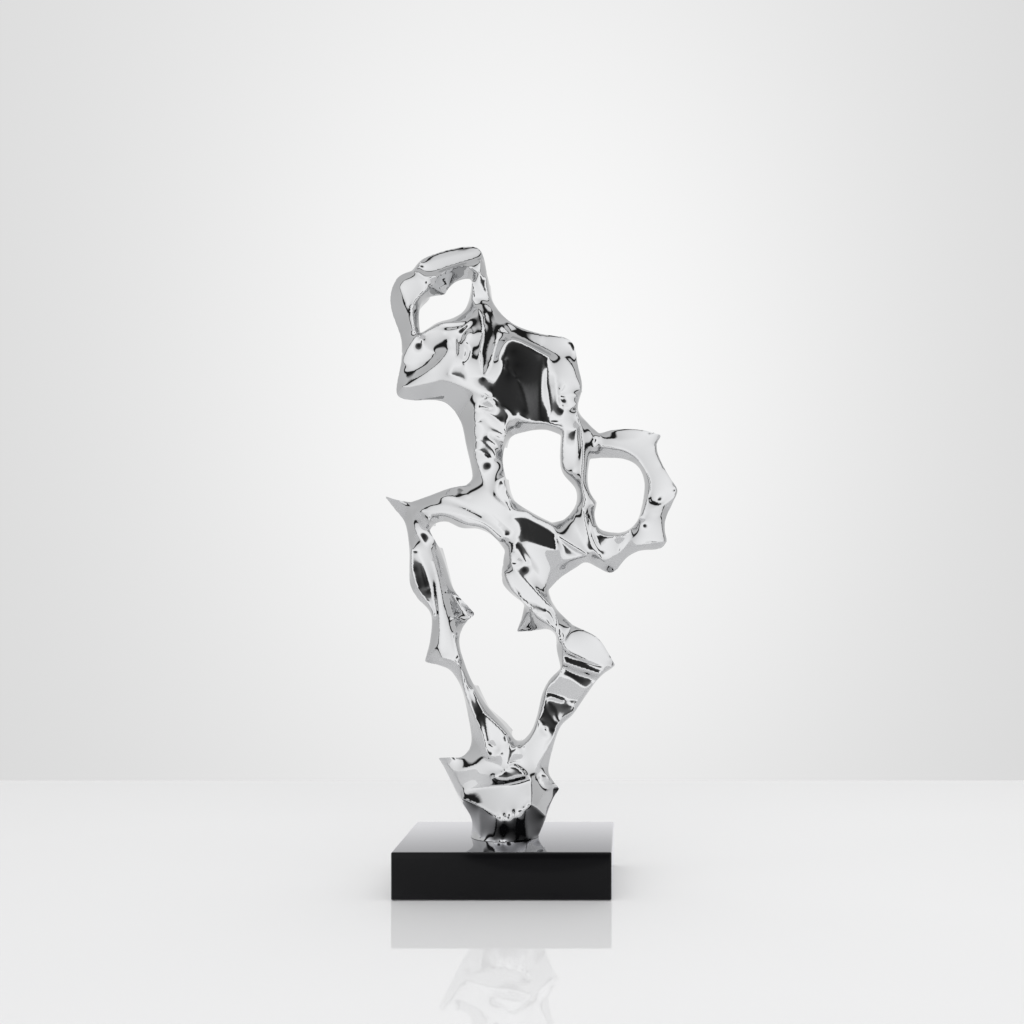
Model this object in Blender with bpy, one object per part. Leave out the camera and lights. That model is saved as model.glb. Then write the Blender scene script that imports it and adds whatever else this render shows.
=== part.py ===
import math

import bmesh
import bpy
import numpy as np
from mathutils import Vector
from mathutils.geometry import delaunay_2d_cdt

MM = 0.001

# Plinth, a plain block that stands on the ground (mm)
PLINTH_WIDTH = 200
PLINTH_DEPTH = 130
PLINTH_HEIGHT = 43.8
PLINTH_EDGE = 1.8

# The cast form (mm)
REST_GAP = 0.3  # between the foot and the plinth
FOOT_LEFT = -36
FOOT_RIGHT = 29
FOOT_DEPTH = 50  # front to back
FOOT_HEIGHT = PLINTH_HEIGHT + REST_GAP
SPACING = 5.4  # between neighbouring points of the skin
RIM_LIFT = 5  # how far the rim lies in front of the middle surface
RIM_SHIFT = 6  # further forward where the rim faces right or up, back where it faces left or down
HOLLOW = 0.003  # how deeply each panel is dished between its creases, 1/mm
RIM_LEAN = (0.7, 0.7)  # the way in which rims come forward
BACK_SHARE = 0.95  # depth of the creases on the back, against those in front
WELD = 0.42  # points closer than this share of the spacing become one
CLEAR = 0.62  # how far free points stay from the creases, as a share of the spacing
CURVE_STEPS = 24  # straight steps between two stops of a curve, before it is divided evenly
LEAST_PULL = 0.02  # the least weight of an edge of the skin, so that flat triangles hold too
BATCH = 400  # points compared at a time
ROUNDS = 4000  # the most steps that the skin may take to come to rest
AT_REST = 1e-6  # mm

# The middle surface bends forward (+) or back (-) near these places: x, z, reach, shift (mm)
BENDS = [
    (95, 215, 55, 4),
    (150, 380, 45, -8),
    (-75, 575, 60, -6),
    (-88, 290, 55, -10),
    (-110, 365, 30, -8),
]

# The form is fuller (+) or slimmer (-) from front to back near these places: x, z, reach (mm), share
GIRTHS = [
    (20, 480, 70, 0.12),
    (-78, 250, 60, -0.22),
    (62, 185, 45, -0.18),
    (145, 370, 50, -0.18),
    (-110, 560, 40, -0.12),
]

# Rims as seen from the front, x and z in mm above the ground. Each row runs from corner to corner,
# and rows follow each other round a loop.
RIMS = [
    # outline, from the foot's left side round to its right side
    [
        [(FOOT_LEFT, FOOT_HEIGHT), (-36, 60), (-46, 77), (-59, 103), (-68, 120)],
        [(-68, 120), (-56, 121), (-43, 122), (-36, 134), (-39, 158), (-45, 184), (-55, 201),
         (-67, 207), (-81, 210)],
        [(-81, 210), (-76, 232), (-76, 256), (-90, 272), (-97, 287), (-97, 318), (-101, 343),
         (-112, 358), (-123, 372)],
        [(-123, 372), (-110, 367), (-94, 364)],
        [(-94, 364), (-76, 370), (-56, 377), (-40, 380)],
        [(-40, 380), (-35, 389), (-41, 418), (-46, 440), (-56, 455), (-68, 461), (-92, 461),
         (-105, 464), (-108, 472), (-103, 499)],
        [(-103, 499), (-104, 521), (-113, 547), (-114, 564), (-107, 579), (-93, 586)],
        [(-93, 586), (-84, 596), (-66, 603), (-47, 607), (-32, 607), (-24, 600), (-19, 578),
         (-14, 554), (4, 534), (30, 524), (55, 520), (64, 511), (67, 494), (71, 473), (67, 452),
         (77, 438), (87, 429)],
        [(87, 429), (102, 433), (126, 433), (147, 428)],
        [(147, 428), (142, 416), (147, 401), (156, 386), (162, 375), (158, 364), (151, 348),
         (150, 337), (152, 326)],
        [(152, 326), (145, 319), (126, 317), (113, 310), (103, 298), (95, 296), (85, 301),
         (74, 306), (65, 301), (50, 291), (38, 279)],
        [(38, 279), (45, 264), (62, 247)],
        [(62, 247), (85, 236), (96, 221), (103, 208)],
        [(103, 208), (87, 196), (75, 180), (62, 161), (50, 149), (43, 129), (39, 109), (43, 100),
         (50, 91)],
        [(50, 91), (42, 78), (35, 59), (FOOT_RIGHT, FOOT_HEIGHT)],
    ],
    # top opening
    [
        [(-84, 525), (-85, 543), (-82, 558), (-72, 562), (-61, 563)],
        [(-61, 563), (-57, 569), (-49, 576), (-37, 578), (-37, 566), (-42, 549), (-53, 540),
         (-69, 535), (-84, 525)],
    ],
    # middle opening
    [
        [(50, 428), (35, 433), (17, 431), (1, 424), (-4, 407), (-2, 388), (4, 368), (21, 355),
         (42, 344)],
        [(42, 344), (54, 348), (64, 361), (64, 376), (52, 391), (49, 405), (50, 428)],
    ],
    # ring
    [
        [(78, 405), (76, 388), (78, 374), (85, 363)],
        [(85, 363), (83, 351), (87, 339), (98, 335), (112, 336), (123, 346), (128, 363),
         (130, 383), (124, 398), (111, 405), (93, 406), (78, 405)],
    ],
    # lower opening
    [
        [(-75, 337), (-71, 343), (-60, 345), (-46, 339), (-29, 338), (-15, 331), (-4, 318)],
        [(-4, 318), (-7, 291), (-1, 279), (15, 266)],
        [(15, 266), (12, 252), (7, 239)],
        [(7, 239), (21, 240), (37, 242), (45, 236), (46, 222), (50, 205)],
        [(50, 205), (39, 194), (32, 180), (27, 159), (21, 144), (10, 136), (-2, 150), (-21, 172),
         (-35, 196), (-44, 220), (-46, 235), (-42, 246), (-31, 257)],
        [(-31, 257), (-40, 267), (-53, 282), (-61, 306), (-67, 322), (-75, 337)],
    ],
]

# Creases of the skin: whether the back has them too, the lifts in front of the middle surface, spread
# evenly from end to end, and the x and z of their points (mm)
CREASES = [
    # bar fold
    (True, (12, 13, 14), [(-85, 589), (-80, 584), (-68, 584), (-32, 594), (-25, 595)]),
    # bar lower edge
    (True, (18, 20, 21), [(-85, 582), (-78, 577), (-65, 578), (-60, 582), (-46, 586), (-38, 586),
        (-25, 579)]),
    # bar left end
    (False, (14, 14), [(-89, 584), (-83, 593)]),
    # window strap
    (False, (17, 17), [(-89, 583), (-76, 569), (-78, 564)]),
    # limb outer edge
    (True, (20, 18, 15), [(-25, 593), (-21, 588), (-18, 564), (-15, 551)]),
    # limb black edge
    (False, (21, 17), [(-25, 591), (-21, 561)]),
    # limb inner edge
    (True, (22, 20), [(-33, 573), (-33, 555), (-28, 550)]),
    # window top
    (True, (14, 16, 18), [(-99, 575), (-93, 576), (-87, 573), (-79, 563)]),
    # window outer
    (True, (14, 15, 16), [(-99, 575), (-103, 570), (-102, 565), (-94, 548), (-93, 539), (-90, 528)]),
    # window inner
    (True, (18, 17, 17), [(-79, 563), (-91, 546), (-88, 528)]),
    # heart lip
    (True, (18, 20, 22), [(-82, 521), (-75, 526), (-62, 532), (-37, 534), (-27, 548)]),
    # flag left
    (True, (17, 8), [(-82, 521), (-87, 519), (-98, 506), (-101, 500)]),
    # flag right
    (False, (12, 12), [(-82, 521), (-80, 513), (-68, 504)]),
    # flag foot
    (False, (8, 10, 14), [(-101, 498), (-96, 495), (-75, 498), (-68, 503)]),
    # bowl top
    (False, (15, 21), [(-80, 520), (-62, 521), (-55, 517)]),
    # bowl right
    (False, (22, 21, 14), [(-55, 517), (-54, 511), (-63, 502), (-68, 503)]),
    # cheek sweep
    (True, (9, 18, 22), [(-98, 476), (-88, 479), (-68, 491), (-54, 506)]),
    # torso lower edge
    (True, (10, 19, 22), [(-101, 473), (-91, 473), (-62, 478), (-39, 471), (-15, 461)]),
    # wedge left
    (True, (20, 22, 22), [(-58, 524), (-53, 519), (-49, 501), (-54, 483)]),
    # wedge foot
    (True, (22, 21, 22), [(-54, 483), (-37, 479), (-21, 482)]),
    # wedge ridge
    (False, (24, 28, 28, 23), [(-27, 545), (-22, 536), (-21, 522), (-24, 499), (-21, 482)]),
    # wedge right
    (True, (20, 18, 18, 20), [(-27, 549), (-21, 551), (-14, 546), (-7, 526), (-15, 491), (-21, 482)]),
    # bar rear edge
    (True, (16, 14, 14), [(-7, 525), (3, 522), (52, 500), (63, 490), (66, 481)]),
    # bar break
    (False, (11, 13), [(34, 522), (32, 510)]),
    # panel top
    (True, (23, 24, 23, 21), [(-7, 498), (-1, 512), (13, 514), (41, 499)]),
    # panel right
    (True, (21, 18, 16), [(41, 499), (38, 492), (35, 468), (39, 443), (36, 437)]),
    # panel foot
    (True, (20, 17, 16), [(-14, 463), (10, 442), (20, 438), (36, 437), (53, 432)]),
    # panel left
    (False, (23, 20), [(-7, 498), (-3, 490), (-10, 475), (-14, 463)]),
    # panel streak
    (False, (22, 20), [(-5, 492), (1, 488), (12, 477)]),
    # panel crease
    (False, (22, 17), [(1, 496), (14, 470), (20, 449), (24, 438)]),
    # strip right
    (False, (20, 18, 16), [(41, 499), (43, 489), (47, 481), (50, 455), (53, 443), (53, 432)]),
    # shoulder foot
    (False, (18, 14), [(48, 477), (66, 481)]),
    # boss middle
    (False, (18, 15), [(50, 463), (62, 465), (68, 463)]),
    # boss foot
    (False, (17, 15), [(52, 455), (56, 451), (60, 451), (65, 455), (68, 460)]),
    # shoulder edge
    (True, (14, 12, 14), [(66, 481), (70, 469), (66, 453)]),
    # post left
    (True, (16, 13, 13, 16), [(53, 432), (52, 398), (64, 384), (69, 368), (66, 357)]),
    # post fold
    (False, (22, 20, 20, 20), [(66, 451), (69, 440), (72, 410), (71, 379), (73, 366), (72, 357)]),
    # post groove
    (False, (16, 17), [(66, 433), (67, 417), (66, 403), (62, 391)]),
    # post right
    (True, (14, 16, 17, 18), [(66, 453), (81, 425), (78, 417), (76, 377), (83, 362)]),
    # ring corner side
    (False, (14, 17), [(89, 427), (88, 416)]),
    # ring inner edge
    (True, (18, 17, 20), [(88, 416), (113, 411), (128, 398), (135, 379), (129, 355), (123, 345)]),
    # ring outer edge
    (True, (10, 12, 13), [(146, 425), (142, 419), (141, 410), (146, 401), (158, 383), (161, 375)]),
    # ring inner foot
    (True, (20, 22), [(88, 334), (96, 331), (112, 333), (123, 345)]),
    # ring knuckle
    (False, (12, 19), [(161, 375), (159, 368), (138, 357), (132, 353)]),
    # knuckle lower
    (False, (19, 13), [(130, 348), (135, 352), (142, 351), (147, 353), (150, 360)]),
    # ring tail
    (False, (12,), [(150, 360), (147, 342), (150, 326)]),
    # ring foot
    (True, (13, 14, 17), [(150, 326), (116, 319), (95, 308), (91, 307)]),
    # heel rim
    (False, (18,), [(83, 362), (86, 337), (89, 334)]),
    # heel black left
    (False, (19,), [(72, 357), (80, 324), (91, 307)]),
    # neck top
    (True, (19, 19), [(-28, 455), (-22, 460), (-15, 461), (-3, 451), (2, 444), (-1, 434)]),
    # knot fold
    (False, (19, 18), [(-31, 450), (-17, 444), (-3, 431)]),
    # knot shadow
    (False, (18, 17), [(-30, 437), (-24, 439), (-2, 426)]),
    # neck left
    (True, (18, 14, 17), [(-28, 455), (-31, 450), (-31, 422), (-32, 411), (-19, 375)]),
    # neck right
    (True, (18, 21, 22), [(-1, 434), (0, 428), (-3, 418), (-3, 397), (0, 376), (5, 364)]),
    # fold black top
    (False, (17, 17), [(-30, 422), (-23, 420), (-11, 411), (-11, 404)]),
    # fold black foot
    (False, (17, 16), [(-31, 412), (-25, 412), (-12, 404)]),
    # neck inner wall
    (False, (20, 21), [(-4, 388), (-9, 381), (-7, 366), (3, 357)]),
    # spike ridge
    (True, (4, 18), [(-119, 370), (-98, 361), (-73, 360)]),
    # beam rear edge
    (True, (15, 18, 21), [(-63, 368), (-55, 369), (-44, 365), (-16, 351), (8, 334)]),
    # beam fold
    (False, (18, 20, 21), [(-73, 360), (-59, 360), (-38, 355), (-17, 345), (0, 332)]),
    # beam lower edge
    (True, (19, 22, 23), [(-79, 355), (-49, 352), (-39, 349), (-21, 343), (-4, 329)]),
    # beam black foot
    (False, (19, 21, 22), [(-73, 350), (-63, 351), (-38, 342), (-21, 338), (-6, 325)]),
    # beam upper edge
    (True, (17, 21, 21), [(-19, 375), (-13, 368), (3, 357), (20, 354), (27, 349), (43, 342)]),
    # dark panel top
    (True, (22,), [(5, 348), (20, 347), (46, 333)]),
    # dark panel left
    (False, (22,), [(5, 348), (12, 342), (13, 329)]),
    # dark panel foot
    (True, (22,), [(13, 329), (43, 318), (48, 318)]),
    # dark panel right
    (False, (22,), [(46, 333), (48, 318)]),
    # beam nose
    (True, (21,), [(43, 342), (53, 328), (76, 314)]),
    # web fold
    (False, (20, 18), [(48, 329), (56, 316), (61, 311)]),
    # web side
    (False, (13, 20), [(63, 352), (65, 342), (76, 315)]),
    # web edge
    (True, (14, 16, 20), [(37, 281), (42, 298), (56, 307), (76, 312)]),
    # thigh left
    (True, (19, 21, 21), [(2, 326), (4, 307), (9, 298), (25, 283), (46, 259), (47, 244)]),
    # knot right
    (False, (22, 21), [(9, 331), (14, 313), (19, 306)]),
    # thigh right
    (True, (22, 18, 14), [(14, 326), (40, 272)]),
    # thigh groove
    (False, (20, 16), [(19, 306), (34, 284)]),
    # pad crease
    (False, (19, 20), [(3, 294), (13, 277), (40, 257)]),
    # thigh lower
    (True, (18, 21, 22), [(-3, 297), (5, 280), (27, 258), (47, 240), (49, 231)]),
    # barb
    (True, (4, 12), [(10, 241), (20, 257), (24, 260)]),
    # knee rear
    (True, (18, 21), [(62, 248), (53, 228)]),
    # knee lid
    (True, (21, 18, 12), [(53, 228), (62, 219), (88, 209), (95, 207), (100, 208)]),
    # band one top
    (False, (16, 15), [(53, 218), (59, 217), (92, 204)]),
    # band one foot
    (False, (17, 16), [(52, 212), (90, 200)]),
    # band two top
    (False, (13, 12), [(52, 207), (65, 201), (77, 198), (81, 195)]),
    # band two foot
    (False, (14, 13), [(51, 201), (59, 198), (72, 188), (77, 187)]),
    # calf left
    (True, (20, 16, 14, 12, 12, 14, 21), [(53, 228), (52, 207), (45, 195), (39, 190), (36, 183),
        (35, 175), (25, 145), (16, 134)]),
    # calf right
    (True, (14, 13, 12, 12, 12, 15, 17), [(92, 203), (68, 176), (63, 164), (50, 155), (43, 137),
        (29, 112)]),
    # calf line
    (False, (11, 11), [(36, 183), (56, 175), (68, 176)]),
    # patch one top
    (False, (11, 11), [(38, 174), (43, 175), (64, 169)]),
    # patch one left
    (False, (11, 11), [(38, 174), (47, 165), (46, 161), (50, 154)]),
    # patch two top
    (False, (12, 12), [(33, 169), (45, 154), (47, 146)]),
    # patch two foot
    (False, (12, 12), [(30, 157), (39, 149), (47, 146)]),
    # V right
    (True, (21, 17), [(16, 134), (24, 119), (29, 112)]),
    # leg outer
    (True, (12, 14, 15, 16), [(-93, 354), (-89, 337), (-78, 320), (-69, 291), (-65, 230), (-63, 215)]),
    # leg top
    (False, (14, 20), [(-88, 348), (-87, 354), (-79, 355)]),
    # leg inner
    (True, (20, 21, 21, 20), [(-73, 350), (-73, 336), (-66, 317), (-57, 282), (-37, 203), (-21, 165)]),
    # leg flute
    (False, (15, 16, 17), [(-73, 322), (-67, 302), (-59, 265), (-45, 216)]),
    # fin top
    (False, (13, 12, 12), [(-93, 319), (-83, 311), (-74, 286), (-68, 256), (-68, 246)]),
    # fin edge
    (False, (13, 14, 13), [(-93, 319), (-93, 298), (-86, 279), (-74, 262), (-72, 254)]),
    # fin fold
    (False, (14, 13), [(-92, 299), (-87, 285), (-77, 280)]),
    # fin
    (True, (15, 4), [(-57, 278), (-37, 254)]),
    # fin foot
    (False, (14, 3), [(-51, 253), (-40, 254), (-33, 256)]),
    # tail fin
    (True, (16, 4), [(-65, 227), (-70, 225), (-80, 212)]),
    # shin
    (True, (17, 19, 21, 22), [(-63, 216), (-47, 211), (-44, 204), (-39, 181), (-23, 144), (-17, 123)]),
    # shin shade
    (False, (19, 20), [(-44, 209), (-31, 173)]),
    # shin inner
    (True, (20, 20), [(-21, 165), (-18, 123)]),
    # shin facet
    (True, (20, 23), [(-21, 165), (-6, 152), (6, 139), (12, 136)]),
    # facet shade
    (False, (20, 22), [(-20, 161), (2, 137)]),
    # V left
    (True, (23, 24), [(12, 136), (6, 127), (0, 111)]),
    # V left band
    (False, (24, 23), [(4, 137), (-3, 113)]),
    # base brow
    (True, (6, 14, 19, 23), [(-61, 116), (-48, 108), (-21, 118), (-15, 119), (-4, 112), (0, 111)]),
    # brow right
    (True, (23, 22, 22), [(0, 111), (8, 118), (17, 111), (23, 102)]),
    # base lens top
    (False, (25,), [(-11, 105), (-4, 108), (1, 113), (6, 115), (12, 113), (17, 108)]),
    # base lens foot
    (False, (25,), [(-11, 105), (-4, 102), (17, 106)]),
    # base lower edge
    (True, (14, 19, 23, 21), [(-42, 90), (-23, 95), (23, 102)]),
    # base chin
    (True, (16, 25, 32, 33, 31), [(-44, 83), (-25, 78), (-15, 74), (2, 69), (24, 81)]),
    # base right
    (True, (21, 31), [(23, 102), (24, 81)]),
    # base right foot
    (True, (31, 13), [(24, 81), (37, 64)]),
    # base left
    (True, (6, 10, 15), [(-61, 116), (-45, 94), (-42, 90), (-44, 83)]),
    # right patch
    (False, (16, 14), [(30, 98), (31, 103), (36, 106), (40, 103), (40, 98), (37, 95), (38, 90)]),
    # foot ridge left
    (False, (25, 17), [(-25, 78), (-24, 45)]),
    # foot ridge middle
    (False, (35, 24), [(-7, 71), (-11, 45)]),
    # foot groove
    (False, (37, 23), [(0, 70), (-3, 45)]),
    # foot ridge right
    (False, (37, 23), [(9, 73), (11, 45)]),
    # foot flute
    (False, (34, 20), [(18, 78), (20, 45)]),
]


def clear_scene():
    for found in list(bpy.data.objects):
        bpy.data.objects.remove(found)


def material(name, colour, roughness, metallic):
    made = bpy.data.materials.new(name)
    made.use_nodes = True
    shader = made.node_tree.nodes["Principled BSDF"]
    shader.inputs["Base Color"].default_value = (*colour, 1)
    shader.inputs["Roughness"].default_value = roughness
    shader.inputs["Metallic"].default_value = metallic
    return made


def add_object(name, shape, finish):
    mesh = bpy.data.meshes.new(name)
    shape.to_mesh(mesh)
    shape.free()
    mesh.materials.append(finish)
    made = bpy.data.objects.new(name, mesh)
    bpy.context.collection.objects.link(made)
    return made


def smooth_curve(points, spacing):
    """Points about a spacing apart on the Catmull-Rom curve through the given points."""
    points = np.array(points, float)
    if len(points) > 2:
        padded = np.vstack([2 * points[0] - points[1], points, 2 * points[-1] - points[-2]])
        t = np.linspace(0, 1, CURVE_STEPS, endpoint=False)[:, None]
        rows = []
        for a, b, c, d in zip(padded, padded[1:], padded[2:], padded[3:]):
            rows.append(
                b + t * (c - a) / 2 + t**2 * (a - 2.5 * b + 2 * c - d / 2)
                + t**3 * (1.5 * (b - c) + (d - a) / 2)
            )
        points = np.vstack(rows + [points[-1:]])
    apart = np.linalg.norm(np.diff(points, axis=0), axis=1)
    length = np.concatenate([[0], np.cumsum(apart)])
    steps = np.linspace(0, length[-1], max(1, round(length[-1] / spacing)) + 1)
    return np.column_stack([np.interp(steps, length, values) for values in points.T])


def spread(points, places):
    """The sum, at each point, of amounts that fade with the distance from their places."""
    total = np.zeros(len(points))
    for x, z, reach, amount in places:
        away = (points[:, 0] - x) ** 2 + (points[:, 1] - z) ** 2
        total += amount * np.exp(-away / reach**2)
    return total


def rim_loop(strokes, spacing, opening):
    """A closed loop of points through the strokes, and the lift of each."""
    points = np.vstack([smooth_curve(stroke, spacing)[:-1] for stroke in strokes])
    after, before = np.roll(points, -1, axis=0), np.roll(points, 1, axis=0)
    area = np.sum(points[:, 0] * after[:, 1] - after[:, 0] * points[:, 1])
    along = (after - before) / np.linalg.norm(after - before, axis=1)[:, None]
    outward = np.column_stack([along[:, 1], -along[:, 0]]) * np.sign(area)
    if opening:
        outward = -outward
    lift = RIM_LIFT + RIM_SHIFT * (outward @ RIM_LEAN)
    for _ in range(3):
        lift = (np.roll(lift, 1) + lift + np.roll(lift, -1)) / 3
    return points, lift


def foot_edge(spacing):
    """Points along the foot's lower edge from right to left, and how far its round section reaches."""
    half = (FOOT_RIGHT - FOOT_LEFT) / 2
    count = round(math.pi * half / spacing)
    angle = np.linspace(0, math.pi, count + 1)[1:-1]
    x = (FOOT_LEFT + FOOT_RIGHT) / 2 + half * np.cos(angle)
    points = np.column_stack([x, np.full(len(x), FOOT_HEIGHT)])
    return points, FOOT_DEPTH / 2 * np.sin(angle)


def inside(points, loops):
    """Whether each point lies inside the outer loop and outside the openings."""
    odd = np.zeros(len(points), bool)
    x, z = points[:, :1], points[:, 1:]
    for a in loops:
        b = np.roll(a, -1, axis=0)
        rise = np.where(a[:, 1] == b[:, 1], 1, b[:, 1] - a[:, 1])
        crosses = (a[:, 1] > z) != (b[:, 1] > z)
        at = a[:, 0] + (z - a[:, 1]) * (b[:, 0] - a[:, 0]) / rise
        odd ^= ((crosses & (x < at)).sum(axis=1) % 2).astype(bool)
    return odd


def nearest(points, others):
    """The distance from each point to the nearest of the others, and that one's number."""
    away = np.full(len(points), np.inf)
    which = np.zeros(len(points), int)
    for start in range(0, len(others), BATCH):
        block = others[start : start + BATCH]
        apart = np.linalg.norm(points[:, None] - block[None], axis=2)
        closest = apart.argmin(axis=1)
        found = apart[np.arange(len(points)), closest]
        nearer = found < away
        away[nearer] = found[nearer]
        which[nearer] = start + closest[nearer]
    return away, which


def crossing(points, edges, others):
    """Whether each edge crosses one of the others."""
    def side(a, b, c):
        along, across = b - a, c - a
        return along[..., 0] * across[..., 1] - along[..., 1] * across[..., 0]

    p, q = points[edges[:, 0]][:, None], points[edges[:, 1]][:, None]
    r, s = points[others[:, 0]], points[others[:, 1]]
    apart = (side(p, q, r) * side(p, q, s) < 0) & (side(r, s, p) * side(r, s, q) < 0)
    return apart.any(axis=1)


def triangle_net(loops, rim_lift, creases, spacing):
    """Triangles over the form's front view: points, triangles, and the lift where it is known."""
    points = np.vstack(loops)
    known = list(rim_lift)
    rims, lines, start = [], [], 0
    for loop in loops:
        count = len(loop)
        rims += [(start + k, start + (k + 1) % count) for k in range(count)]
        start += count
    for levels, route in creases:
        stops = smooth_curve(route, spacing)
        lifts = np.interp(np.linspace(0, len(levels) - 1, len(stops)), range(len(levels)), levels)
        away, which = nearest(stops, points)
        within = inside(stops, loops)
        chain = []
        for stop, lift, gap, other, kept in zip(stops, lifts, away, which, within):
            if gap < WELD * spacing:
                chain.append(other)
            elif kept:
                points = np.vstack([points, stop])
                known.append(lift)
                chain.append(len(points) - 1)
        lines += [(a, b) for a, b in zip(chain, chain[1:]) if a != b]
    rims, lines = np.array(rims), np.array(lines)
    edges = np.vstack([rims, lines[~crossing(points, lines, rims)]])
    low, high = points.min(axis=0), points.max(axis=0)
    rows = np.arange(low[1], high[1], spacing * math.sqrt(0.75))
    grid = np.array(
        [(x + spacing / 2 * (row % 2), z) for row, z in enumerate(rows)
         for x in np.arange(low[0], high[0], spacing)]
    )
    grid = grid[inside(grid, loops)]
    grid = grid[nearest(grid, points)[0] > CLEAR * spacing]
    count = len(points)
    points = np.vstack([points, grid])
    flat, _, faces, origins, _, _ = delaunay_2d_cdt(
        [Vector(point) for point in points], edges.tolist(), [], 0, 1e-4
    )
    flat = np.array([tuple(point) for point in flat])
    faces = np.array([face for face in faces])
    faces = faces[inside(flat[faces].mean(axis=1), loops)]
    lift = np.full(len(flat), np.nan)
    order = np.full(len(flat), -1)
    for number, found in enumerate(origins):
        if found:
            order[number] = min(found)
            if order[number] < count:
                lift[number] = known[order[number]]
    return flat, faces, lift, order


def stretch(flat, faces, lift, hollow):
    """Fills in the lifts like a skin stretched between the creases and dished by the hollow."""
    corner = flat[faces]
    side = np.roll(corner, -1, axis=1) - corner
    area = np.abs(side[:, 0, 0] * side[:, 1, 1] - side[:, 0, 1] * side[:, 1, 0]) / 2
    count = len(flat)
    load = np.zeros(count)
    for k in range(3):
        load += np.bincount(faces[:, k], area / 3 * hollow, count)
    ends, weights = [], []
    for k in range(3):
        # The side opposite corner k weighs half the cotangent of the angle there.
        a, b = side[:, (k + 2) % 3], side[:, k]
        weight = -(a * b).sum(axis=1) / (4 * area)
        ends.append(faces[:, [(k + 1) % 3, (k + 2) % 3]])
        weights.append(np.maximum(weight, LEAST_PULL))
    ends, weights = np.vstack(ends), np.concatenate(weights)
    total = np.bincount(ends[:, 0], weights, count) + np.bincount(ends[:, 1], weights, count)

    def pull(values):
        return (
            total * values
            - np.bincount(ends[:, 0], weights * values[ends[:, 1]], count)
            - np.bincount(ends[:, 1], weights * values[ends[:, 0]], count)
        )

    free = np.isnan(lift) & (total > 0)
    values = np.where(np.isnan(lift), 0, lift)
    rest = np.where(free, -load - pull(values), 0)
    shape = np.where(free, total, 1)
    step = rest / shape
    size = rest @ step
    for _ in range(ROUNDS):
        moved = np.where(free, pull(step), 0)
        share = size / (step @ moved)
        values = values + share * step
        rest = rest - share * moved
        if np.abs(rest).max() < AT_REST:
            break
        eased = rest / shape
        new_size = rest @ eased
        step = eased + new_size / size * step
        size = new_size
    return values


def cast_form(spacing):
    """The closed skin of the form: its points in metres and its faces."""
    lower, reach = foot_edge(spacing)
    loops, lifts = [], []
    for number, strokes in enumerate(RIMS):
        loop, lift = rim_loop(strokes, spacing, number > 0)
        loops.append(loop)
        lifts.append(lift)
    start = len(loops[0])
    loops[0] = np.vstack([loops[0], lower])
    front = np.concatenate([lifts[0], reach] + lifts[1:])
    back = np.concatenate([-lifts[0], reach] + [-lift for lift in lifts[1:]])
    foot = range(start, start + len(lower))

    seen = [(levels, route) for _, levels, route in CREASES]
    behind = [(np.array(levels) * BACK_SHARE, route) for both, levels, route in CREASES if both]
    points, faces, joined = [], [], {}
    for toward, known, creases in ((-1, front, seen), (1, back, behind)):
        flat, net, lift, order = triangle_net(loops, known, creases, spacing)
        lift = stretch(flat, net, lift, HOLLOW)
        depth = toward * lift * (1 + spread(flat, GIRTHS)) - spread(flat, BENDS)
        numbers = np.empty(len(flat), int)
        for k, (place, y) in enumerate(zip(flat, depth)):
            shared = 0 <= order[k] < len(front) and order[k] not in foot
            if shared and order[k] in joined:
                numbers[k] = joined[order[k]]
                continue
            numbers[k] = len(points)
            points.append((place[0] * MM, y * MM, place[1] * MM))
            if 0 <= order[k] < len(front):
                joined[(toward, order[k]) if order[k] in foot else order[k]] = numbers[k]
        net = numbers[net]
        faces += [tuple(face) if toward < 0 else tuple(face[::-1]) for face in net]
    # The flat underside of the foot, between its front and back edges
    ring = [foot[0] - 1, *foot, 0]
    for a, b in zip(ring, ring[1:]):
        around = [joined.get((-1, a), joined.get(a)), joined.get((1, a), joined.get(a)),
                  joined.get((1, b), joined.get(b)), joined.get((-1, b), joined.get(b))]
        faces.append(tuple(dict.fromkeys(around)))
    return points, faces


def make_form(finish):
    points, faces = cast_form(SPACING)
    mesh = bpy.data.meshes.new("sculpture")
    mesh.from_pydata(points, [], faces)
    shape = bmesh.new()
    shape.from_mesh(mesh)
    bpy.data.meshes.remove(mesh)
    bmesh.ops.recalc_face_normals(shape, faces=shape.faces)
    return add_object("sculpture", shape, finish)


def make_plinth(finish):
    shape = bmesh.new()
    bmesh.ops.create_cube(shape, size=1)
    size = Vector((PLINTH_WIDTH, PLINTH_DEPTH, PLINTH_HEIGHT)) * MM
    bmesh.ops.scale(shape, vec=size, verts=shape.verts)
    bmesh.ops.translate(shape, vec=(0, 0, size.z / 2), verts=shape.verts)
    plinth = add_object("plinth", shape, finish)
    bevel = plinth.modifiers.new("soft edges", "BEVEL")
    bevel.width = PLINTH_EDGE * MM
    bevel.segments = 2
    return plinth


clear_scene()
make_plinth(material("black gloss", (0.01, 0.01, 0.012), 0.08, 0))
make_form(material("chrome", (0.82, 0.83, 0.85), 0.06, 1))
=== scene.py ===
# Openwork chrome sculpture on its black plinth, in the studio.
import math

import bmesh
import bpy
import numpy as np
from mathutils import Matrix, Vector
from mathutils.geometry import delaunay_2d_cdt


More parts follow.
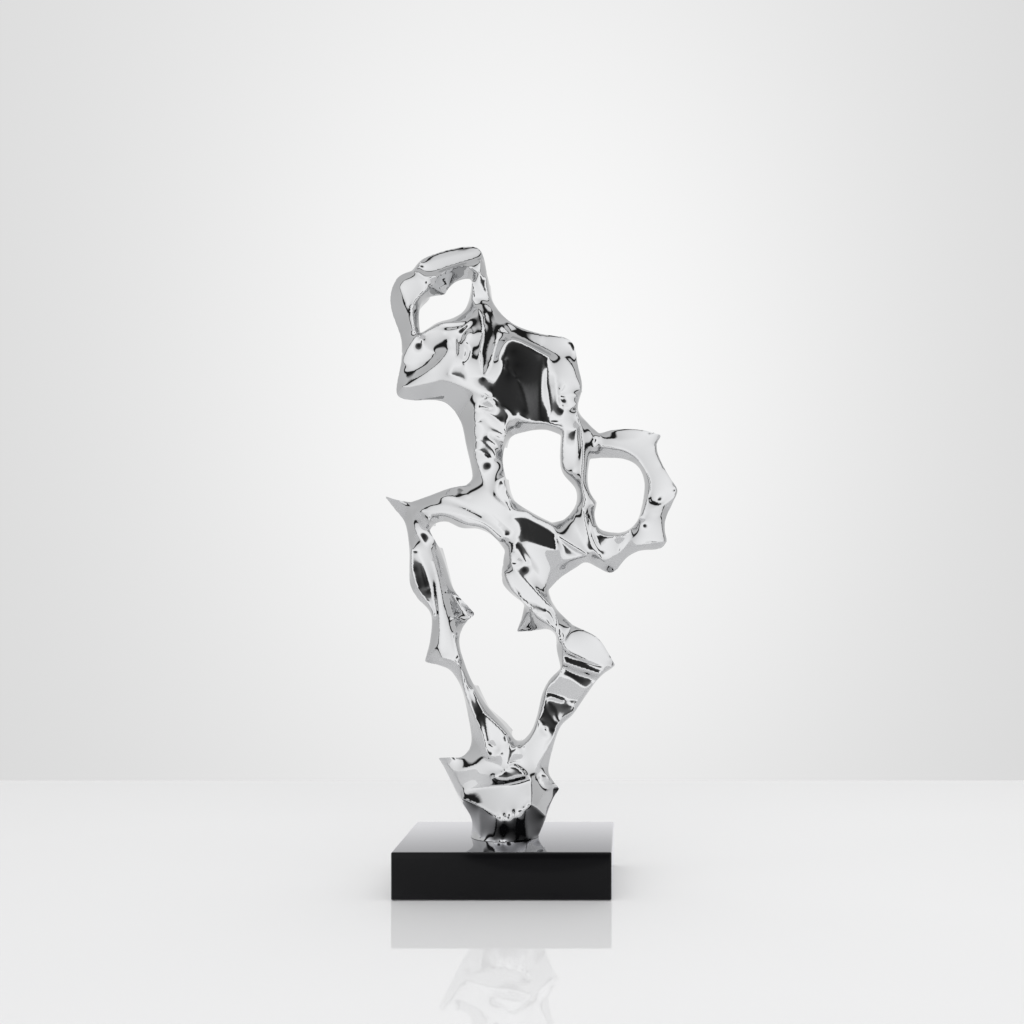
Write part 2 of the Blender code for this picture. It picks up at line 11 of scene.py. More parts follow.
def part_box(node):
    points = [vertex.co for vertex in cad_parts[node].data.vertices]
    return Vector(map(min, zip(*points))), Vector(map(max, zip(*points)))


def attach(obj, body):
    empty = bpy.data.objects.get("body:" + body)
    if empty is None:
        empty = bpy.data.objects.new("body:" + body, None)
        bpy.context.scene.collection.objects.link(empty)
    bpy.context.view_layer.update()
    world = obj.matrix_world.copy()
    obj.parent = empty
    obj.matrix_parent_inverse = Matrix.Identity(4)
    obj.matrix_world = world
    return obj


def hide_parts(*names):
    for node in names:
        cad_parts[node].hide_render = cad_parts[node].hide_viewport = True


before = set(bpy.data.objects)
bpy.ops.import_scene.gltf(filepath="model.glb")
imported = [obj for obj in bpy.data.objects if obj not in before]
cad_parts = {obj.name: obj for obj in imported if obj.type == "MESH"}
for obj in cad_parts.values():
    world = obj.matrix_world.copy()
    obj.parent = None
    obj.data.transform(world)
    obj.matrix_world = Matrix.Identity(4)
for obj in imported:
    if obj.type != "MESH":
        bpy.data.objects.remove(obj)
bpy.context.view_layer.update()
print("stage: frame loaded")

millimetre = 0.001

# The cast form
form = {
    "spacing": 1.4,  # mm between the points of the skin
    "restGap": 0.3,  # mm between the foot and the plinth
    "footEnds": (-36, 29),  # mm, its left and right
    "footDepth": 50,  # mm from front to back
    "rimLift": 5,  # mm that the rim lies in front of the middle surface
    "rimShift": 6,  # mm further forward where it faces right or up
    "rimLean": (0.7, 0.7),  # the way in which rims come forward
    "rimEase": 16,  # mm, the rounds in which the rim's lift evens out, times the spacing
    "hollow": 0.003,  # 1/mm, how deeply each panel is dished
    "backShare": 0.95,  # depth of the creases on the back against those in front
    "weld": 0.42,  # points nearer than this share of the spacing become one
    "clear": 0.62,  # how far free points stay from the creases, as a share of the spacing
    "strokes": 1.0,  # how strongly the fine strokes stand off the skin
    "soft": 0.6,  # mm, how far each round of softening reaches over the creases
    "rounds": 2,  # of softening
    "longest": 4.0,  # mm, the longest edge of a steep wall
    "splits": 3,  # how many times a long edge may be halved
    "wallEase": 3.0,  # mm, how far the steep walls ease between their creases
    "sharp": 70,  # degrees, from which an edge is shaded as a sharp one
}
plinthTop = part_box("plinth")[1][2] / millimetre
footHeight = plinthTop + form["restGap"]
footLeft, footRight = form["footEnds"]

# How the skin is worked out
curveSteps = 24  # straight steps between two stops of a curve, before it is divided evenly
pointBatch = 4000  # points tested at a time
nearBatch = 200  # points compared at a time
edgeBatch = 500  # edges compared at a time
leastPull = 0.02  # the least and the most weight of an edge, so that thin triangles hold too
mostPull = 5
mostSteps = 1500  # that the skin may take to come to rest
atRest = 1e-5  # mm
tiny = 1e-9  # in place of a zero that would be divided by
smallArea = 1e-6  # mm2, the least area that a triangle counts with

# The middle surface bends forward (+) or back (-) near these places: x, z, reach, shift (mm)
bends = [
    (95, 215, 55, 4),
    (150, 380, 45, -8),
    (-75, 575, 60, -6),
    (-88, 290, 55, -10),
    (-110, 365, 30, -8),
]

# The form is fuller (+) or slimmer (-) from front to back near these places: x, z, reach (mm), share
girths = [
    (20, 480, 70, 0.12),
    (-78, 250, 60, -0.22),
    (62, 185, 45, -0.18),
    (145, 370, 50, -0.18),
    (-110, 560, 40, -0.12),
]

# Rims as seen from the front, x and z in mm above the ground. Each row runs from corner to corner, and
# rows follow each other round a loop.
rims = [
    # outline, from the foot's left side round to its right side
    [
        [(footLeft, footHeight), (-36, 60), (-46, 77), (-59, 103), (-68, 120)],
        [(-68, 120), (-56, 121), (-43, 122), (-36, 134), (-39, 158), (-45, 184), (-55, 201),
         (-67, 207), (-81, 210)],
        [(-81, 210), (-76, 232), (-76, 256), (-90, 272), (-97, 287), (-97, 318), (-101, 343),
         (-112, 358), (-123, 372)],
        [(-123, 372), (-110, 367), (-94, 364)],
        [(-94, 364), (-76, 370), (-56, 377), (-40, 380)],
        [(-40, 380), (-35, 389), (-41, 418), (-46, 440), (-56, 455), (-68, 461), (-92, 461),
         (-105, 464), (-108, 472), (-103, 499)],
        [(-103, 499), (-104, 521), (-113, 547), (-114, 564), (-107, 579), (-93, 586)],
        [(-93, 586), (-84, 596), (-66, 603), (-47, 607), (-32, 607), (-24, 600), (-19, 578),
         (-14, 554), (4, 534), (30, 524), (55, 520), (64, 511), (67, 494), (71, 473), (67, 452),
         (77, 438), (87, 429)],
        [(87, 429), (102, 433), (126, 433), (147, 428)],
        [(147, 428), (142, 416), (147, 401), (156, 386), (162, 375), (158, 364), (151, 348),
         (150, 337), (152, 326)],
        [(152, 326), (145, 319), (126, 317), (113, 310), (103, 298), (95, 296), (85, 301),
         (74, 306), (65, 301), (50, 291), (38, 279)],
        [(38, 279), (45, 264), (62, 247)],
        [(62, 247), (85, 236), (96, 221), (103, 208)],
        [(103, 208), (87, 196), (75, 180), (62, 161), (50, 149), (43, 129), (39, 109), (43, 100),
         (50, 91)],
        [(50, 91), (42, 78), (35, 59), (footRight, footHeight)],
    ],
    # top opening
    [
        [(-84, 525), (-85, 543), (-82, 558), (-72, 562), (-61, 563)],
        [(-61, 563), (-57, 569), (-49, 576), (-37, 578), (-37, 566), (-42, 549), (-53, 540),
         (-69, 535), (-84, 525)],
    ],
    # middle opening
    [
        [(50, 428), (35, 433), (17, 431), (1, 424), (-4, 407), (-2, 388), (4, 368), (21, 355),
         (42, 344)],
        [(42, 344), (54, 348), (64, 361), (64, 376), (52, 391), (49, 405), (50, 428)],
    ],
    # ring
    [
        [(78, 405), (76, 388), (78, 374), (85, 363)],
        [(85, 363), (83, 351), (87, 339), (98, 335), (112, 336), (123, 346), (128, 363),
         (130, 383), (124, 398), (111, 405), (93, 406), (78, 405)],
    ],
    # lower opening
    [
        [(-75, 337), (-71, 343), (-60, 345), (-46, 339), (-29, 338), (-15, 331), (-4, 318)],
        [(-4, 318), (-7, 291), (-1, 279), (15, 266)],
        [(15, 266), (12, 252), (7, 239)],
        [(7, 239), (21, 240), (37, 242), (45, 236), (46, 222), (50, 205)],
        [(50, 205), (39, 194), (32, 180), (27, 159), (21, 144), (10, 136), (-2, 150), (-21, 172),
         (-35, 196), (-44, 220), (-46, 235), (-42, 246), (-31, 257)],
        [(-31, 257), (-40, 267), (-53, 282), (-61, 306), (-67, 322), (-75, 337)],
    ],
]

# Creases of the skin: whether the back has them too, their lifts in front of the middle surface, spread
# evenly from end to end, and the x and z of their points (mm)
creases = [
    # bar fold
    (True, (12, 13, 14), [(-85, 589), (-80, 584), (-68, 584), (-32, 594), (-25, 595)]),
    # bar lower edge
    (True, (18, 20, 21), [(-85, 582), (-78, 577), (-65, 578), (-60, 582), (-46, 586), (-38, 586),
        (-25, 579)]),
    # bar left end
    (False, (14, 14), [(-89, 584), (-85, 589), (-83, 593)]),
    # window strap
    (False, (17, 17), [(-89, 583), (-76, 569), (-78, 564)]),
    # limb outer edge
    (True, (20, 18, 15), [(-25, 593), (-21, 588), (-18, 564), (-15, 551)]),
    # limb black edge
    (False, (21, 17), [(-25, 591), (-23, 567), (-21, 561)]),
    # limb inner edge
    (True, (22, 20), [(-33, 573), (-32, 564), (-33, 555), (-28, 550)]),
    # window top
    (True, (14, 16, 18), [(-99, 575), (-93, 576), (-87, 573), (-79, 563)]),
    # window outer
    (True, (14, 15, 16), [(-99, 575), (-103, 570), (-102, 565), (-94, 548), (-93, 539), (-90, 528)]),
    # window inner
    (True, (18, 17, 17), [(-79, 563), (-89, 552), (-91, 546), (-88, 528)]),
    # heart lip
    (True, (18, 20, 22), [(-82, 521), (-75, 526), (-62, 532), (-43, 533), (-37, 534), (-31, 540),
        (-27, 548)]),
    # flag left
    (True, (17, 8), [(-82, 521), (-87, 519), (-98, 506), (-101, 500)]),
    # flag right
    (False, (12, 12), [(-82, 521), (-80, 513), (-75, 508), (-68, 504)]),
    # flag foot
    (False, (8, 10, 14), [(-101, 498), (-96, 495), (-75, 498), (-68, 503)]),
    # bowl top
    (False, (15, 21), [(-80, 520), (-62, 521), (-55, 517)]),
    # bowl right
    (False, (22, 21, 14), [(-55, 517), (-54, 511), (-57, 505), (-63, 502), (-68, 503)]),
    # cheek sweep
    (True, (9, 18, 22), [(-98, 476), (-88, 479), (-68, 491), (-54, 506)]),
    # torso lower edge
    (True, (10, 19, 22), [(-101, 473), (-91, 473), (-71, 476), (-62, 478), (-39, 471), (-15, 461)]),
    # wedge left
    (True, (20, 22, 22), [(-58, 524), (-53, 519), (-49, 501), (-54, 483)]),
    # wedge foot
    (True, (22, 21, 22), [(-54, 483), (-37, 479), (-21, 482)]),
    # wedge ridge
    (False, (24, 28, 28, 23), [(-27, 545), (-22, 536), (-21, 522), (-24, 499), (-22, 488), (-21, 482)]),
    # wedge right
    (True, (20, 18, 18, 20), [(-27, 549), (-21, 551), (-14, 546), (-7, 526), (-9, 514), (-15, 491),
        (-21, 482)]),
    # bar rear edge
    (True, (16, 14, 14), [(-7, 525), (3, 522), (52, 500), (58, 496), (63, 490), (66, 481)]),
    # bar break
    (False, (11, 13), [(34, 522), (32, 510)]),
    # panel top
    (True, (23, 24, 23, 21), [(-7, 498), (-5, 505), (-1, 512), (4, 515), (13, 514), (41, 499)]),
    # panel right
    (True, (21, 18, 16), [(41, 499), (38, 492), (35, 468), (36, 457), (39, 450), (39, 443), (36, 437)]),
    # panel foot
    (True, (20, 17, 16), [(-14, 463), (10, 442), (20, 438), (36, 437), (53, 432)]),
    # panel left
    (False, (23, 20), [(-7, 498), (-3, 490), (-10, 475), (-14, 463)]),
    # panel streak
    (False, (22, 20), [(-5, 492), (1, 488), (12, 477)]),
    # panel crease
    (False, (22, 17), [(1, 496), (14, 470), (20, 449), (24, 438)]),
    # strip right
    (False, (20, 18, 16), [(41, 499), (43, 489), (47, 481), (50, 455), (53, 443), (53, 432)]),
    # shoulder foot
    (False, (18, 14), [(48, 477), (55, 478), (66, 481)]),
    # boss middle
    (False, (18, 15), [(50, 463), (56, 463), (62, 465), (68, 463)]),
    # boss foot
    (False, (17, 15), [(52, 455), (56, 451), (60, 451), (65, 455), (68, 460)]),
    # shoulder edge
    (True, (14, 12, 14), [(66, 481), (69, 476), (70, 469), (66, 453)]),
    # post left
    (True, (16, 13, 13, 16), [(53, 432), (52, 398), (64, 384), (69, 368), (66, 357)]),
    # post fold
    (False, (22, 20, 20, 20), [(66, 451), (69, 440), (70, 425), (72, 410), (71, 379), (73, 366),
        (72, 357)]),
    # post groove
    (False, (16, 17), [(66, 433), (67, 417), (66, 403), (62, 391)]),
    # post right
    (True, (14, 16, 17, 18), [(66, 453), (78, 433), (81, 425), (78, 417), (75, 388), (76, 377),
        (83, 362)]),
    # ring corner side
    (False, (14, 17), [(89, 427), (88, 416)]),
    # ring inner edge
    (True, (18, 17, 20), [(88, 416), (113, 411), (128, 398), (135, 379), (129, 355), (123, 345)]),
    # ring outer edge
    (True, (10, 12, 13), [(146, 425), (142, 419), (141, 410), (146, 401), (158, 383), (161, 375)]),
    # ring inner foot
    (True, (20, 22), [(88, 334), (96, 331), (112, 333), (123, 345)]),
    # ring knuckle
    (False, (12, 19), [(161, 375), (159, 368), (152, 363), (138, 357), (132, 353)]),
    # knuckle lower
    (False, (19, 13), [(130, 348), (135, 352), (142, 351), (147, 353), (150, 360)]),
    # ring tail
    (False, (12,), [(150, 360), (147, 342), (150, 326)]),
    # ring foot
    (True, (13, 14, 17), [(150, 326), (116, 319), (95, 308), (91, 307)]),
    # heel rim
    (False, (18,), [(83, 362), (84, 345), (86, 337), (89, 334)]),
    # heel black left
    (False, (19,), [(72, 357), (80, 324), (91, 307)]),
    # neck top
    (True, (19, 19), [(-28, 455), (-22, 460), (-15, 461), (-3, 451), (2, 444), (-1, 434)]),
    # knot fold
    (False, (19, 18), [(-31, 450), (-17, 444), (-3, 431)]),
    # knot shadow
    (False, (18, 17), [(-30, 437), (-24, 439), (-17, 436), (-9, 430), (-2, 426)]),
    # neck left
    (True, (18, 14, 17), [(-28, 455), (-31, 450), (-31, 422), (-32, 411), (-29, 401), (-19, 375)]),
    # neck right
    (True, (18, 21, 22), [(-1, 434), (0, 428), (-3, 418), (-3, 397), (0, 376), (5, 364)]),
    # fold black top
    (False, (17, 17), [(-30, 422), (-23, 420), (-11, 411), (-11, 404)]),
    # fold black foot
    (False, (17, 16), [(-31, 412), (-25, 412), (-12, 404)]),
    # neck inner wall
    (False, (20, 21), [(-4, 388), (-9, 381), (-10, 373), (-7, 366), (3, 357)]),
    # spike ridge
    (True, (4, 18), [(-119, 370), (-98, 361), (-73, 360)]),
    # beam rear edge
    (True, (15, 18, 21), [(-63, 368), (-55, 369), (-44, 365), (-16, 351), (8, 334)]),
    # beam fold
    (False, (18, 20, 21), [(-73, 360), (-59, 360), (-38, 355), (-17, 345), (0, 332)]),
    # beam lower edge
    (True, (19, 22, 23), [(-79, 355), (-49, 352), (-39, 349), (-21, 343), (-4, 329)]),
    # beam black foot
    (False, (19, 21, 22), [(-73, 350), (-63, 351), (-54, 349), (-38, 342), (-21, 338), (-6, 325)]),
    # beam upper edge
    (True, (17, 21, 21), [(-19, 375), (-13, 368), (3, 357), (20, 354), (27, 349), (43, 342)]),
    # dark panel top
    (True, (22,), [(5, 348), (20, 347), (46, 333)]),
    # dark panel left
    (False, (22,), [(5, 348), (12, 342), (13, 329)]),
    # dark panel foot
    (True, (22,), [(13, 329), (43, 318), (48, 318)]),
    # dark panel right
    (False, (22,), [(46, 333), (48, 318)]),
    # beam nose
    (True, (21,), [(43, 342), (53, 328), (76, 314)]),
    # web fold
    (False, (20, 18), [(48, 329), (56, 316), (61, 311)]),
    # web side
    (False, (13, 20), [(63, 352), (65, 342), (76, 315)]),
    # web edge
    (True, (14, 16, 20), [(37, 281), (42, 298), (56, 307), (76, 312)]),
    # thigh left
    (True, (19, 21, 21), [(2, 326), (4, 307), (9, 298), (25, 283), (41, 267), (46, 259), (48, 252),
        (47, 244)]),
    # knot right
    (False, (22, 21), [(9, 331), (14, 313), (19, 306)]),
    # thigh right
    (True, (22, 18, 14), [(14, 326), (40, 272)]),
    # thigh groove
    (False, (20, 16), [(19, 306), (34, 284)]),
    # pad crease
    (False, (19, 20), [(3, 294), (13, 277), (32, 264), (40, 257)]),
    # thigh lower
    (True, (18, 21, 22), [(-3, 297), (5, 280), (27, 258), (47, 240), (49, 231)]),
    # barb
    (True, (4, 12), [(10, 241), (20, 257), (24, 260)]),
    # knee rear
    (True, (18, 21), [(62, 248), (59, 242), (53, 228)]),
    # knee lid
    (True, (21, 18, 12), [(53, 228), (62, 219), (88, 209), (95, 207), (100, 208)]),
    # band one top
    (False, (16, 15), [(53, 218), (59, 217), (92, 204)]),
    # band one foot
    (False, (17, 16), [(52, 212), (69, 206), (90, 200)]),
    # band two top
    (False, (13, 12), [(52, 207), (65, 201), (77, 198), (81, 195)]),
    # band two foot
    (False, (14, 13), [(51, 201), (59, 198), (72, 188), (77, 187)]),
    # calf left
    (True, (20, 16, 14, 12, 12, 14, 21), [(53, 228), (52, 207), (45, 195), (39, 190), (36, 183),
        (35, 175), (25, 145), (16, 134)]),
    # calf right
    (True, (14, 13, 12, 12, 12, 15, 17), [(92, 203), (68, 176), (64, 169), (63, 164), (50, 155),
        (43, 137), (29, 112)]),
    # calf line
    (False, (11, 11), [(36, 183), (43, 181), (56, 175), (63, 174), (68, 176)]),
    # patch one top
    (False, (11, 11), [(38, 174), (43, 175), (64, 169)]),
    # patch one left
    (False, (11, 11), [(38, 174), (47, 165), (46, 161), (50, 154)]),
    # patch two top
    (False, (12, 12), [(33, 169), (45, 154), (47, 146)]),
    # patch two foot
    (False, (12, 12), [(30, 157), (39, 149), (47, 146)]),
    # V right
    (True, (21, 17), [(16, 134), (24, 119), (29, 112)]),
    # leg outer
    (True, (12, 14, 15, 16), [(-93, 354), (-89, 337), (-78, 320), (-69, 291), (-65, 230), (-63, 215)]),
    # leg top
    (False, (14, 20), [(-88, 348), (-87, 354), (-79, 355)]),
    # leg inner
    (True, (20, 21, 21, 20), [(-73, 350), (-73, 336), (-66, 317), (-57, 282), (-37, 203), (-21, 165)]),
    # leg flute
    (False, (15, 16, 17), [(-73, 322), (-67, 302), (-59, 265), (-45, 216)]),
    # fin top
    (False, (13, 12, 12), [(-93, 319), (-83, 311), (-74, 286), (-73, 278), (-68, 256), (-68, 246)]),
    # fin edge
    (False, (13, 14, 13), [(-93, 319), (-93, 298), (-86, 279), (-74, 262), (-72, 254)]),
    # fin fold
    (False, (14, 13), [(-92, 299), (-87, 285), (-84, 281), (-77, 280)]),
    # fin
    (True, (15, 4), [(-57, 278), (-37, 254)]),
    # fin foot
    (False, (14, 3), [(-51, 253), (-40, 254), (-33, 256)]),
    # tail fin
    (True, (16, 4), [(-65, 227), (-70, 225), (-80, 212)]),
    # shin
    (True, (17, 19, 21, 22), [(-63, 216), (-47, 211), (-44, 204), (-39, 181), (-23, 144), (-17, 123)]),
    # shin shade
    (False, (19, 20), [(-44, 209), (-33, 181), (-31, 173)]),
    # shin inner
    (True, (20, 20), [(-21, 165), (-20, 153), (-18, 123)]),
    # shin facet
    (True, (20, 23), [(-21, 165), (-6, 152), (6, 139), (12, 136)]),
    # facet shade
    (False, (20, 22), [(-20, 161), (2, 137)]),
    # V left
    (True, (23, 24), [(12, 136), (6, 127), (0, 111)]),
    # V left band
    (False, (24, 23), [(4, 137), (3, 128), (-3, 113)]),
    # base brow
    (True, (6, 14, 19, 23), [(-61, 116), (-48, 108), (-21, 118), (-15, 119), (-4, 112), (0, 111)]),
    # brow right
    (True, (23, 22, 22), [(0, 111), (3, 117), (8, 118), (17, 111), (23, 102)]),
    # base lens top
    (False, (25,), [(-11, 105), (-4, 108), (1, 113), (6, 115), (12, 113), (17, 108)]),
    # base lens foot
    (False, (25,), [(-11, 105), (-4, 102), (17, 106)]),
    # base lower edge
    (True, (14, 19, 23, 21), [(-42, 90), (-23, 95), (23, 102)]),
    # base chin
    (True, (16, 25, 32, 33, 31), [(-44, 83), (-25, 78), (-15, 74), (2, 69), (16, 77), (24, 81)]),
    # base right
    (True, (21, 31), [(23, 102), (24, 95), (24, 81)]),
    # base right foot
    (True, (31, 13), [(24, 81), (29, 76), (37, 64)]),
    # base left
    (True, (6, 10, 15), [(-61, 116), (-45, 94), (-42, 90), (-44, 83)]),
    # right patch
    (False, (16, 14), [(30, 98), (31, 103), (36, 106), (40, 103), (40, 98), (37, 95), (38, 90)]),
    # foot ridge left
    (False, (25, 17), [(-25, 78), (-24, 45)]),
    # foot ridge middle
    (False, (35, 24), [(-7, 71), (-11, 45)]),
    # foot groove
    (False, (37, 23), [(0, 70), (-3, 45)]),
    # foot ridge right
    (False, (37, 23), [(9, 73), (11, 45)]),
    # foot flute
    (False, (34, 20), [(18, 78), (20, 45)]),
]

# Fine strokes of the front, by how far each stands out of the skin round it or sinks in (mm)
strokes = [
    # bar line
    (-1, [(-70, 574), (-64, 574), (-54, 582), (-40, 582), (-33, 574)]),
    # bar rim line
    (0.8, [(-82, 589), (-70, 595), (-39, 601), (-29, 600), (-24, 594)]),
    # notch line
    (-1, [(-72, 577), (-65, 569), (-61, 574)]),
    # notch foot
    (-1, [(-78, 563), (-74, 566), (-65, 569)]),
    # limb foot
    (-1, [(-33, 555), (-28, 556), (-23, 555), (-17, 550)]),
    # window foot
    (-1, [(-97, 553), (-93, 551), (-89, 551)]),
    # loop outer line
    (1, [(-104, 563), (-101, 554), (-96, 545), (-90, 523)]),
    # lip shadow
    (-1.5, [(-62, 531), (-57, 529), (-42, 529), (-37, 533)]),
    # lip ridge
    (1, [(-75, 523), (-66, 525), (-57, 524), (-41, 528), (-35, 533)]),
    # flag shadow
    (-1.5, [(-99, 490), (-92, 489), (-77, 493), (-71, 497)]),
    # cheek band
    (-1, [(-97, 484), (-86, 486), (-76, 491), (-62, 501)]),
    # wedge streak
    (-1.5, [(-20, 541), (-21, 522), (-23, 511), (-24, 501)]),
    # wedge band
    (0.5, [(-18, 542), (-14, 530), (-15, 515), (-21, 489)]),
    # squiggle top
    (-2, [(-44, 513), (-42, 519), (-35, 528), (-30, 520)]),
    # squiggle hole
    (1.5, [(-37, 513), (-38, 518), (-35, 522), (-32, 519)]),
    # squiggle right
    (-2, [(-37, 513), (-34, 509), (-33, 503), (-36, 497), (-40, 493)]),
    # squiggle left
    (1.5, [(-44, 513), (-39, 508), (-38, 503), (-39, 498), (-43, 497)]),
    # squiggle bar left
    (-1.5, [(-48, 518), (-47, 499)]),
    # squiggle bar right
    (1, [(-45, 518), (-45, 499)]),
    # collar
    (1, [(-5, 527), (0, 525), (4, 521)]),
    # collar side
    (-1.5, [(1, 532), (4, 521)]),
    # bar end
    (-1, [(60, 515), (62, 503), (59, 497)]),
    # panel strip
    (0.5, [(1, 514), (-2, 495)]),
    # panel shade
    (-0.5, [(34, 503), (33, 489), (31, 437)]),
    # panel lower streak
    (0.8, [(10, 446), (22, 439)]),
    # white strip
    (1.2, [(40, 491), (38, 482), (38, 472), (40, 465), (41, 448), (39, 443)]),
    # strip heel
    (-1, [(40, 441), (45, 439), (52, 440)]),
    # boss left
    (-1.5, [(54, 476), (51, 470), (50, 461), (52, 452)]),
    # post top
    (1, [(54, 447), (60, 445), (74, 431)]),
    # ring corner
    (-1.5, [(83, 426), (82, 420), (84, 415), (88, 415)]),
    # ring second line
    (-1, [(92, 412), (108, 406), (113, 407)]),
    # ring top line
    (1, [(91, 425), (105, 422), (118, 423), (133, 427)]),
    # knuckle upper
    (-3, [(134, 365), (138, 366), (148, 362)]),
    # foot fold
    (1.5, [(119, 338), (117, 329), (108, 315)]),
    # foot fold left
    (-1, [(107, 330), (107, 322), (104, 314)]),
    # heel black right
    (-1.5, [(75, 353), (79, 334), (91, 309)]),
    # heel strip
    (1, [(76, 374), (77, 362), (84, 331), (89, 319)]),
    # knot lens top
    (1.5, [(-25, 456), (-20, 459), (-14, 457), (-11, 453)]),
    # knot lens foot
    (-1.5, [(-25, 454), (-15, 451), (-11, 453)]),
    # knot streak
    (1, [(-25, 449), (-17, 447), (-4, 437)]),
    # fold line
    (1, [(-25, 409), (-20, 407), (-15, 403)]),
    # neck shade
    (-1.2, [(-19, 425), (-7, 414), (-4, 406)]),
    # neck glint
    (1, [(-16, 426), (-4, 423)]),
    # neck wedge
    (-1.5, [(-4, 385), (1, 373)]),
    # beam rear line
    (-1, [(-60, 366), (-52, 364), (-30, 353), (-6, 338)]),
    # eye line
    (1, [(-42, 373), (-35, 367)]),
    # nose shadow
    (-1.2, [(50, 327), (65, 316), (74, 313)]),
    # knot foot
    (-1.5, [(4, 306), (8, 304), (12, 307), (15, 304)]),
    # knot inner
    (1.5, [(7, 326), (8, 319), (5, 315)]),
    # pad slit
    (-1.5, [(27, 283), (32, 279), (41, 270)]),
    # pad toe
    (-1.5, [(37, 262), (42, 257), (47, 245)]),
    # pad toe left
    (1, [(35, 257), (39, 252), (41, 246), (46, 244)]),
    # thigh shadow
    (-1, [(11, 276), (32, 256)]),
    # barb foot
    (-0.5, [(12, 242), (26, 245)]),
    # barb fold
    (0.5, [(23, 260), (28, 248)]),
    # strap
    (1, [(23, 260), (42, 242)]),
    # knee rear line
    (-1, [(64, 246), (54, 227)]),
    # knee pit left
    (-1.5, [(49, 244), (52, 233)]),
    # knee pit right
    (1, [(50, 244), (54, 236), (53, 231)]),
    # lid shadow
    (-1.8, [(50, 228), (53, 223), (59, 219), (80, 210), (94, 205)]),
    # lid corner
    (-1, [(98, 214), (99, 211), (97, 207)]),
    # calf line foot
    (1, [(38, 181), (58, 174), (65, 173)]),
    # hook
    (-1.5, [(31, 146), (36, 148), (36, 141)]),
    # leg dark band
    (-1.2, [(-79, 321), (-70, 302), (-64, 278), (-57, 218)]),
    # leg second flute
    (-1, [(-60, 270), (-51, 216)]),
    # fin shoulder
    (0.8, [(-91, 331), (-86, 332), (-82, 327)]),
    # fin lens
    (-0.3, [(-82, 305), (-77, 288), (-76, 281)]),
    # fin lens left
    (0.3, [(-84, 305), (-79, 282)]),
    # slim fold
    (-1, [(-71, 255), (-68, 249), (-65, 234)]),
    # fin shade
    (-1, [(-54, 269), (-39, 254)]),
    # tail foot
    (-1, [(-75, 214), (-62, 213)]),
    # tail glint
    (1, [(-67, 238), (-72, 225)]),
    # facet squiggle
    (-1.5, [(-17, 137), (-13, 132), (-6, 130)]),
    # facet squiggle foot
    (1, [(-3, 128), (-9, 125), (-12, 120)]),
    # V middle
    (1, [(13, 134), (12, 122)]),
    # base lower line
    (-1.5, [(-40, 89), (-16, 95), (22, 99)]),
    # chin inner
    (-0.8, [(13, 76), (19, 80), (22, 87)]),
    # right shade
    (-1, [(33, 109), (28, 105), (26, 98), (26, 90)]),
    # right patch left
    (-1, [(30, 99), (33, 95), (33, 91)]),
]


def smoothCurve(points, spacing):
    # evenly spaced points on the Catmull-Rom curve through the given points
    points = np.array(points, float)
    if len(points) > 2:
        padded = np.vstack([2 * points[0] - points[1], points, 2 * points[-1] - points[-2]])
        t = np.linspace(0, 1, curveSteps, endpoint=False)[:, None]
        rows = []
        for a, b, c, d in zip(padded, padded[1:], padded[2:], padded[3:]):
            rows.append(
                b + t * (c - a) / 2 + t**2 * (a - 2.5 * b + 2 * c - d / 2)
                + t**3 * (1.5 * (b - c) + (d - a) / 2)
            )
        points = np.vstack(rows + [points[-1:]])
    apart = np.linalg.norm(np.diff(points, axis=0), axis=1)
    length = np.concatenate([[0], np.cumsum(apart)])
    steps = np.linspace(0, length[-1], max(1, round(length[-1] / spacing)) + 1)
    return np.column_stack([np.interp(steps, length, values) for values in points.T])


def spread(points, places):
    # amounts that fade with the distance from their places
    total = np.zeros(len(points))
    for x, z, reach, amount in places:
        away = (points[:, 0] - x) ** 2 + (points[:, 1] - z) ** 2
        total += amount * np.exp(-away / reach**2)
    return total


def rimLoop(runs, spacing, opening):
    # a closed loop of points through the rim's runs, and the lift of each
    points = np.vstack([smoothCurve(run, spacing)[:-1] for run in runs])
    after, before = np.roll(points, -1, axis=0), np.roll(points, 1, axis=0)
    area = np.sum(points[:, 0] * after[:, 1] - after[:, 0] * points[:, 1])
    along = (after - before) / np.linalg.norm(after - before, axis=1)[:, None]
    outward = np.column_stack([along[:, 1], -along[:, 0]]) * np.sign(area)
    if opening:
        outward = -outward
    lift = form["rimLift"] + form["rimShift"] * (outward @ form["rimLean"])
    for _ in range(max(3, round(form["rimEase"] / spacing))):
        lift = (np.roll(lift, 1) + lift + np.roll(lift, -1)) / 3
    return points, lift


def footEdge(spacing):
    # points along the foot's lower edge from right to left, and how far its round section reaches
    half = (footRight - footLeft) / 2
    angle = np.linspace(0, math.pi, round(math.pi * half / spacing) + 1)[1:-1]
    x = (footLeft + footRight) / 2 + half * np.cos(angle)
    return np.column_stack([x, np.full(len(x), footHeight)]), form["footDepth"] / 2 * np.sin(angle)


def inside(points, loops):
    # inside the outer loop and outside the openings
    odd = np.zeros(len(points), bool)
    for start in range(0, len(points), pointBatch):
        block = points[start : start + pointBatch]
        x, z = block[:, :1], block[:, 1:]
        for a in loops:
            b = np.roll(a, -1, axis=0)
            rise = np.where(a[:, 1] == b[:, 1], 1, b[:, 1] - a[:, 1])
            crosses = (a[:, 1] > z) != (b[:, 1] > z)
            at = a[:, 0] + (z - a[:, 1]) * (b[:, 0] - a[:, 0]) / rise
            odd[start : start + pointBatch] ^= ((crosses & (x < at)).sum(axis=1) % 2).astype(bool)
    return odd


